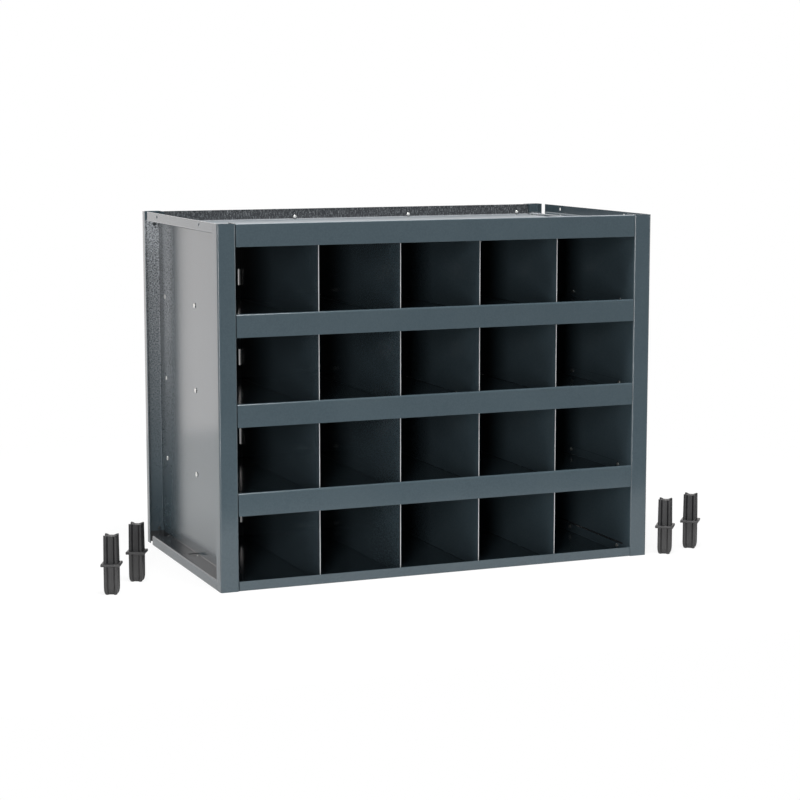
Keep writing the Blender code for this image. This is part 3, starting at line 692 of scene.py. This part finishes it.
def rivet_tree():
    """Geometry nodes that set a turned rivet end on each point, with its own facing and width."""
    tree, given, end = new_group(
        "Rivet ends", "GeometryNodeTree",
        [("Points", "NodeSocketGeometry", None), ("Diameter", "NodeSocketFloat", 0.0068),
         ("Height", "NodeSocketFloat", 0.0013), ("Rim", "NodeSocketFloat", 0.0003),
         ("Mandrel diameter", "NodeSocketFloat", 0.002), ("Mandrel depth", "NodeSocketFloat", 0.0005),
         ("Sides", "NodeSocketInt", 24), ("Rings", "NodeSocketInt", 14),
         ("Material", "NodeSocketMaterial", None)],
        [("Rivets", "NodeSocketGeometry")])
    columns = calc(tree, "ADD", given["Sides"], 1.0)
    rows = calc(tree, "ADD", given["Rings"], 1.0)
    grid = add_node(
        tree, "GeometryNodeMeshGrid",
        {"Size X": 1.0, "Size Y": 1.0, "Vertices X": columns, "Vertices Y": rows})
    flat = split_axes(tree, add_node(tree, "GeometryNodeInputPosition").outputs[0])
    turn = calc(tree, "MULTIPLY", calc(tree, "ADD", flat["X"], 0.5), 2 * pi)
    ring = calc(tree, "MULTIPLY", calc(tree, "ADD", flat["Y"], 0.5), given["Rings"])

    # The first ring closes the base, the second stands on the base's rim, and the rest climb the dome
    climbed = calc(tree, "MAXIMUM", calc(tree, "SUBTRACT", ring, 2.0), 0.0)
    share = calc(tree, "DIVIDE", climbed, calc(tree, "SUBTRACT", given["Rings"], 2.0))
    slope = calc(tree, "MULTIPLY", share, pi / 2)
    past_base = calc(tree, "GREATER_THAN", ring, 0.5)
    past_rim = calc(tree, "GREATER_THAN", ring, 1.5)
    reach = calc(tree, "MULTIPLY", calc(tree, "MULTIPLY", given["Diameter"], 0.5), past_base)
    radius = calc(tree, "MULTIPLY", reach, calc(tree, "COSINE", slope))
    dome = calc(tree, "SUBTRACT", given["Height"], given["Rim"])
    crown = calc(tree, "MULTIPLY_ADD", dome, calc(tree, "SINE", slope), given["Rim"])
    hollow_edge = calc(tree, "MULTIPLY", given["Mandrel diameter"], 0.5)
    hollow_foot = calc(tree, "MULTIPLY", hollow_edge, 0.7)
    hollow = remap(tree, radius, hollow_foot, hollow_edge, given["Mandrel depth"], 0.0, smooth=True)
    height = calc(tree, "MULTIPLY", calc(tree, "SUBTRACT", crown, hollow), past_rim)
    turned = add_node(
        tree, "ShaderNodeCombineXYZ",
        {"X": calc(tree, "MULTIPLY", radius, calc(tree, "COSINE", turn)),
         "Y": calc(tree, "MULTIPLY", radius, calc(tree, "SINE", turn)), "Z": height})
    shaped = add_node(
        tree, "GeometryNodeSetPosition", {"Geometry": grid.outputs["Mesh"], "Position": turned.outputs[0]})
    closed = add_node(
        tree, "GeometryNodeMergeByDistance", {"Geometry": shaped.outputs[0], "Distance": 0.000005})
    smooth = add_node(tree, "GeometryNodeSetShadeSmooth", {"Geometry": closed.outputs[0]})
    facing = add_node(
        tree, "GeometryNodeInputNamedAttribute", {"Name": "facing"}, data_type="FLOAT_VECTOR")
    aligned = add_node(
        tree, "FunctionNodeAlignRotationToVector", {"Vector": facing.outputs[0]}, axis="Z")
    width = add_node(tree, "GeometryNodeInputNamedAttribute", {"Name": "width"}, data_type="FLOAT").outputs[0]
    widened = add_node(tree, "ShaderNodeCombineXYZ", {"X": width, "Y": width, "Z": 1.0})
    placed = add_node(
        tree, "GeometryNodeInstanceOnPoints",
        {"Points": given["Points"], "Instance": smooth.outputs[0], "Rotation": aligned.outputs[0],
         "Scale": widened.outputs[0]})
    whole = add_node(tree, "GeometryNodeRealizeInstances", {"Geometry": placed.outputs[0]})
    coated = add_node(
        tree, "GeometryNodeSetMaterial", {"Geometry": whole.outputs[0], "Material": given["Material"]})
    tree.links.new(coated.outputs[0], end.inputs["Rivets"])
    return tree


def ear_tree():
    """Geometry nodes that stand a rounded upright bar on each point."""
    tree, given, end = new_group(
        "Ear bends", "GeometryNodeTree",
        [("Points", "NodeSocketGeometry", None), ("Size", "NodeSocketFloat", 0.001),
         ("Height", "NodeSocketFloat", 0.0223), ("Rounding", "NodeSocketFloat", 0.0003),
         ("Material", "NodeSocketMaterial", None)],
        [("Bends", "NodeSocketGeometry")])
    top = add_node(tree, "ShaderNodeCombineXYZ", {"Z": given["Height"]})
    spine = add_node(tree, "GeometryNodeCurvePrimitiveLine", {"End": top.outputs[0]})
    square = add_node(
        tree, "GeometryNodeCurvePrimitiveQuadrilateral", {"Width": given["Size"], "Height": given["Size"]})
    profile = add_node(
        tree, "GeometryNodeFilletCurve",
        {"Curve": square.outputs[0], "Radius": given["Rounding"], "Count": 3}, mode="POLY")
    bar = add_node(
        tree, "GeometryNodeCurveToMesh",
        {"Curve": spine.outputs[0], "Profile Curve": profile.outputs[0], "Fill Caps": True})
    placed = add_node(
        tree, "GeometryNodeInstanceOnPoints", {"Points": given["Points"], "Instance": bar.outputs[0]})
    whole = add_node(tree, "GeometryNodeRealizeInstances", {"Geometry": placed.outputs[0]})
    coated = add_node(
        tree, "GeometryNodeSetMaterial", {"Geometry": whole.outputs[0], "Material": given["Material"]})
    tree.links.new(coated.outputs[0], end.inputs["Bends"])
    return tree


def run_tree(name, mesh, tree, values):
    """One piece made by a geometry tree from a mesh of points, turned into a plain mesh."""
    obj = bpy.data.objects.new(name, mesh)
    bpy.context.scene.collection.objects.link(obj)
    modifier = obj.modifiers.new(tree.name, "NODES")
    modifier.node_group = tree
    for socket in tree.interface.items_tree:
        if socket.item_type == "SOCKET" and socket.in_out == "INPUT" and socket.name in values:
            modifier[socket.identifier] = values[socket.name]
    evaluated = obj.evaluated_get(bpy.context.evaluated_depsgraph_get())
    obj.data = bpy.data.meshes.new_from_object(evaluated)
    obj.modifiers.clear()
    bpy.data.meshes.remove(mesh)
    return obj


def set_rivets(name, tree, places, values):
    """One piece with a rivet end at each place: its point, its facing and its share of the width."""
    mesh = bpy.data.meshes.new(name)
    mesh.from_pydata([point for point, facing, share in places], [], [])
    facings = mesh.attributes.new("facing", "FLOAT_VECTOR", "POINT")
    facings.data.foreach_set("vector", [axis for point, facing, share in places for axis in facing])
    widths = mesh.attributes.new("width", "FLOAT", "POINT")
    widths.data.foreach_set("value", [share for point, facing, share in places])
    return run_tree(name, mesh, tree, values)


def rivet_places(settings):
    """Seats of the heads and tails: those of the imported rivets, and the lower shelves' rear rows."""
    heads, tails = [], []
    rim_share = settings.rim_head_diameter / settings.head_diameter
    for name in RIVET_NODES:
        low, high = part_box(name)
        middle = (low + high) / 2
        if name in RIM_NODES:
            inner, outer = low.y + settings.head_height, high.y - settings.tail_height
            heads.append(((middle.x, inner, middle.z), (0, -1, 0), rim_share))
            tails.append(((middle.x, outer, middle.z), (0, 1, 0), 1.0))
            for level in SHELF_LEVELS:
                heads.append(((middle.x, outer, level), (0, 1, 0), 1.0))
                tails.append(((middle.x, inner, level), (0, -1, 0), 1.0))
        elif middle.x < 0:
            heads.append(((low.x + settings.head_height, middle.y, middle.z), (-1, 0, 0), 1.0))
            tails.append(((high.x - settings.tail_height, middle.y, middle.z), (1, 0, 0), 1.0))
        else:
            heads.append(((high.x - settings.head_height, middle.y, middle.z), (1, 0, 0), 1.0))
            tails.append(((low.x + settings.tail_height, middle.y, middle.z), (-1, 0, 0), 1.0))
    return heads, tails


def painted_places(settings):
    """Seats of the dark rivets near both ends of each side panel's rear flange."""
    across = WEB_SIDE + settings.flange_reach
    face = PANEL_HIGH.y - PANEL_SHEET
    levels = (settings.flange_inset, PANEL_HIGH.z - settings.flange_inset)
    return [((x, face, z), (0, -1, 0), 1.0) for x in (-across, across) for z in levels]


class BINRACK_OT_enamel_sheets(bpy.types.Operator):
    """Enamels the side panels, back panel, shelves and dividers, and softens their edges"""

    bl_idname = "bin_rack.enamel_sheets"
    bl_label = "Enamel the Sheet Steel"

    def execute(self, context):
        settings = context.scene.bin_rack.enamel
        enamel = enamel_material("blue_grey_enamel", settings)
        coats = {name: enamel for name in SHEET_NODES}
        # The dividers' front edges are painted pale, partly as bare steel and partly as painted highlight
        coats.update(dict.fromkeys(DIVIDER_NODES, enamel_material("rubbed_enamel", settings, divider_wear)))
        # The stiles' bends carry a painted highlight
        coats.update(dict.fromkeys(PANEL_NODES, enamel_material("handled_enamel", settings, stile_wear)))
        # The top tray's pale haze is partly dust and partly painted sheen
        coats["top_shelf"] = enamel_material("dusty_enamel", settings, dulled=tray_haze)
        for name, coat in coats.items():
            finish_node(name, coat, settings.edge_radius)
        return {"FINISHED"}


class BINRACK_OT_bend_ears(bpy.types.Operator):
    """Rounds the roots of the ears that hold the dividers' rear edges"""

    bl_idname = "bin_rack.bend_ears"
    bl_label = "Round the Ears' Bends"

    def execute(self, context):
        settings = context.scene.bin_rack.ears
        mesh = bpy.data.meshes.new("ear_bends")
        mesh.from_pydata(
            [(x + side * settings.place, BACK_MIDDLE, level + EAR_ABOVE_RIVETS)
             for x in DIVIDER_PLACES for side in (-1, 1) for level in SHELF_LEVELS], [], [])
        piece = run_tree("ear_bends", mesh, ear_tree(), {
            "Size": settings.size, "Height": settings.height, "Rounding": settings.rounding,
            "Material": bpy.data.materials["blue_grey_enamel"]})
        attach(piece, BODY)
        return {"FINISHED"}


class BINRACK_OT_set_rivets(bpy.types.Operator):
    """Sets the zinc rivets in their holes, and the dark rivets in the rear flanges"""

    bl_idname = "bin_rack.set_rivets"
    bl_label = "Set the Rivets"

    def execute(self, context):
        settings = context.scene.bin_rack.rivets
        zinc = zinc_material(settings)
        tree = rivet_tree()
        heads, tails = rivet_places(settings)
        head_piece = set_rivets("rivet_heads", tree, heads, {
            "Diameter": settings.head_diameter, "Height": settings.head_height,
            "Mandrel diameter": settings.mandrel_diameter, "Mandrel depth": settings.mandrel_depth,
            "Material": zinc})
        tail_piece = set_rivets("rivet_tails", tree, tails, {
            "Diameter": settings.tail_diameter, "Height": settings.tail_height,
            "Rim": settings.tail_height / 2, "Mandrel diameter": settings.mandrel_diameter,
            "Mandrel depth": -settings.mandrel_depth, "Material": zinc})
        # The dark rivets' near-black colour is painted shade
        painted_piece = set_rivets("painted_rivets", tree, painted_places(settings), {
            "Diameter": settings.rim_head_diameter, "Height": settings.head_height,
            "Mandrel diameter": settings.mandrel_diameter, "Mandrel depth": settings.mandrel_depth,
            "Material": dark_rivet_material(context.scene.bin_rack.enamel)})
        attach(painted_piece, BODY)
        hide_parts(*RIVET_NODES)
        for piece in (head_piece, tail_piece):
            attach(piece, BODY)
        return {"FINISHED"}


class BINRACK_OT_finish_pins(bpy.types.Operator):
    """Gives the loose stacking pins their moulded plastic and softened edges"""

    bl_idname = "bin_rack.finish_pins"
    bl_label = "Finish the Stacking Pins"

    def execute(self, context):
        settings = context.scene.bin_rack.pins
        plastic = plastic_material(settings)
        for name in PIN_NODES:
            finish_node(name, plastic, settings.edge_radius)
        return {"FINISHED"}


def white_to_the_eye(tree, straight, bounced):
    """How white a surface is made: to the camera, and to a reflection or through glass."""
    path = add_node(tree, "ShaderNodeLightPath").outputs
    mirrored = calc(tree, "MAXIMUM", path["Is Glossy Ray"], path["Is Transmission Ray"])
    reflected = calc(tree, "MULTIPLY", mirrored, bounced)
    return calc(tree, "MULTIPLY_ADD", path["Is Camera Ray"], straight, reflected)


def build_floor(settings):
    """A plain white floor that keeps a soft share of the rack's shadow, which fades out away from the rack.
    The strip under the right side panel keeps all of it, because white would shine through the gap beside
    the bottom shelf."""
    half, front, rear = settings.floor_width / 2, -settings.floor_front, settings.floor_rear
    mesh = bpy.data.meshes.new("floor")
    mesh.from_pydata(
        [(-half, front, 0), (half, front, 0), (half, rear, 0), (-half, rear, 0)], [], [(0, 1, 2, 3)])
    floor = bpy.data.objects.new("floor", mesh)
    bpy.context.scene.collection.objects.link(floor)
    made = bpy.data.materials.new("white_floor")
    made.use_nodes = True
    tree = made.node_tree
    tree.nodes.clear()
    place = object_place(tree)
    axes = split_axes(tree, place)
    distance = add_node(tree, "ShaderNodeVectorMath", {0: place}, operation="LENGTH").outputs["Value"]
    straight = remap(
        tree, distance, settings.shadow_near, settings.shadow_far,
        low=1.0 - settings.shadow_share, high=1.0, smooth=True)
    strip_middle = (WEB_SIDE + LIP_SIDE) / 2
    strip_half = (LIP_SIDE - WEB_SIDE) / 2 + settings.strip_spare
    from_strip = calc(tree, "ABSOLUTE", calc(tree, "SUBTRACT", axes["X"], strip_middle))
    beside = calc(tree, "GREATER_THAN", from_strip, strip_half)
    beyond = calc(tree, "GREATER_THAN", calc(tree, "ABSOLUTE", axes["Y"]), BACK_LOW.y)
    in_the_open = calc(tree, "MAXIMUM", beside, beyond)
    whiteness = product(tree, white_to_the_eye(tree, straight, settings.floor_mirrored), in_the_open)
    paper = add_node(tree, "ShaderNodeBsdfDiffuse", {"Color": (0.86, 0.86, 0.86, 1.0)})
    glow = add_node(tree, "ShaderNodeEmission", {"Color": (1.0, 1.0, 1.0, 1.0), "Strength": 1.0})
    blend = add_node(tree, "ShaderNodeMixShader", {0: whiteness, 1: paper.outputs[0], 2: glow.outputs[0]})
    add_node(tree, "ShaderNodeOutputMaterial", {"Surface": blend.outputs[0]})
    mesh.materials.append(made)


def build_world(settings):
    """Dim light from all round, white where the eye or a reflection meets it."""
    world = bpy.data.worlds.new("studio")
    world.use_nodes = True
    tree = world.node_tree
    tree.nodes.clear()
    whiteness = white_to_the_eye(tree, 1.0, settings.world_mirrored)
    dim, white = (
        add_node(tree, "ShaderNodeBackground", {"Color": (1.0, 1.0, 1.0, 1.0), "Strength": strength})
        for strength in (settings.ambient, 1.0))
    blend = add_node(tree, "ShaderNodeMixShader", {0: whiteness, 1: dim.outputs[0], 2: white.outputs[0]})
    add_node(tree, "ShaderNodeOutputWorld", {"Surface": blend.outputs[0]})
    bpy.context.scene.world = world


def add_softbox(name, place, aim, size, power, tint=(1.0, 1.0, 1.0)):
    """A soft rectangular light at a place, aimed at a point."""
    lamp = bpy.data.lights.new(name, "AREA")
    lamp.shape = "RECTANGLE"
    lamp.size, lamp.size_y = size
    lamp.energy = power
    lamp.color = tint
    obj = bpy.data.objects.new(name, lamp)
    obj.location = place
    obj.rotation_euler = (Vector(aim) - Vector(place)).to_track_quat("-Z", "Y").to_euler()
    obj.visible_camera = False
    bpy.context.scene.collection.objects.link(obj)


class BINRACK_OT_build_stage(bpy.types.Operator):
    """Builds the white floor, the studio light and the camera"""

    bl_idname = "bin_rack.build_stage"
    bl_label = "Build the Stage"

    def execute(self, context):
        settings = context.scene.bin_rack.stage
        build_floor(settings)
        build_world(settings)
        middle = (0.0, 0.0, PANEL_HIGH.z / 2)
        add_softbox(
            "rear_softbox", place=(-0.4, 1.5, 0.75), aim=(-0.4, 0.0, 0.55), size=(4.2, 1.7), power=30.0,
            tint=(1.0, 0.965, 0.955))
        add_softbox("key_softbox", place=(-1.35, -2.40, 0.50), aim=middle, size=(0.45, 1.6), power=45.0)
        add_softbox("top_softbox", place=(-0.2, -0.6, 2.3), aim=middle, size=(1.4, 1.0), power=85.0)
        add_softbox("right_softbox", place=(2.0, -1.3, 0.8), aim=middle, size=(1.0, 1.2), power=20.0)

        lens = bpy.data.cameras.new("photo_camera")
        lens.lens = settings.lens
        camera = bpy.data.objects.new("photo_camera", lens)
        camera.location = settings.camera_place
        camera.rotation_euler = settings.camera_turn
        context.scene.collection.objects.link(camera)
        context.scene.camera = camera
        context.scene.view_settings.view_transform = "Standard"
        return {"FINISHED"}


class BINRACK_PT_sidebar(bpy.types.Panel):
    """Sizes, colours and steps of the bin rack"""

    bl_idname = "BINRACK_PT_sidebar"
    bl_label = "Bin Rack"
    bl_space_type = "VIEW_3D"
    bl_region_type = "UI"
    bl_category = "Bin Rack"

    def draw(self, context):
        settings = context.scene.bin_rack
        groups = {
            "Enamel": settings.enamel, "Ears": settings.ears, "Rivets": settings.rivets,
            "Stacking pins": settings.pins, "Stage": settings.stage}
        for title, group in groups.items():
            box = self.layout.box()
            box.label(text=title)
            for key in group.__annotations__:
                box.prop(group, key)
        for operator in OPERATORS:
            self.layout.operator(operator.bl_idname)


OPERATORS = (
    BINRACK_OT_enamel_sheets, BINRACK_OT_bend_ears, BINRACK_OT_set_rivets, BINRACK_OT_finish_pins,
    BINRACK_OT_build_stage,
)
CLASSES = (
    EnamelSettings, EarSettings, RivetSettings, PinSettings, StageSettings, RackSettings, *OPERATORS,
    BINRACK_PT_sidebar,
)


def register():
    """Adds the classes and the scene's settings to Blender."""
    for item in CLASSES:
        bpy.utils.register_class(item)
    bpy.types.Scene.bin_rack = bpy.props.PointerProperty(type=RackSettings)


def unregister():
    """Takes the settings and classes out of Blender again."""
    del bpy.types.Scene.bin_rack
    for item in reversed(CLASSES):
        bpy.utils.unregister_class(item)


def main():
    """Dresses and stages the rack."""
    register()
    bpy.ops.bin_rack.enamel_sheets()
    bpy.ops.bin_rack.bend_ears()
    bpy.ops.bin_rack.set_rivets()
    bpy.ops.bin_rack.finish_pins()
    bpy.ops.bin_rack.build_stage()


if __name__ == "__main__":
    main()
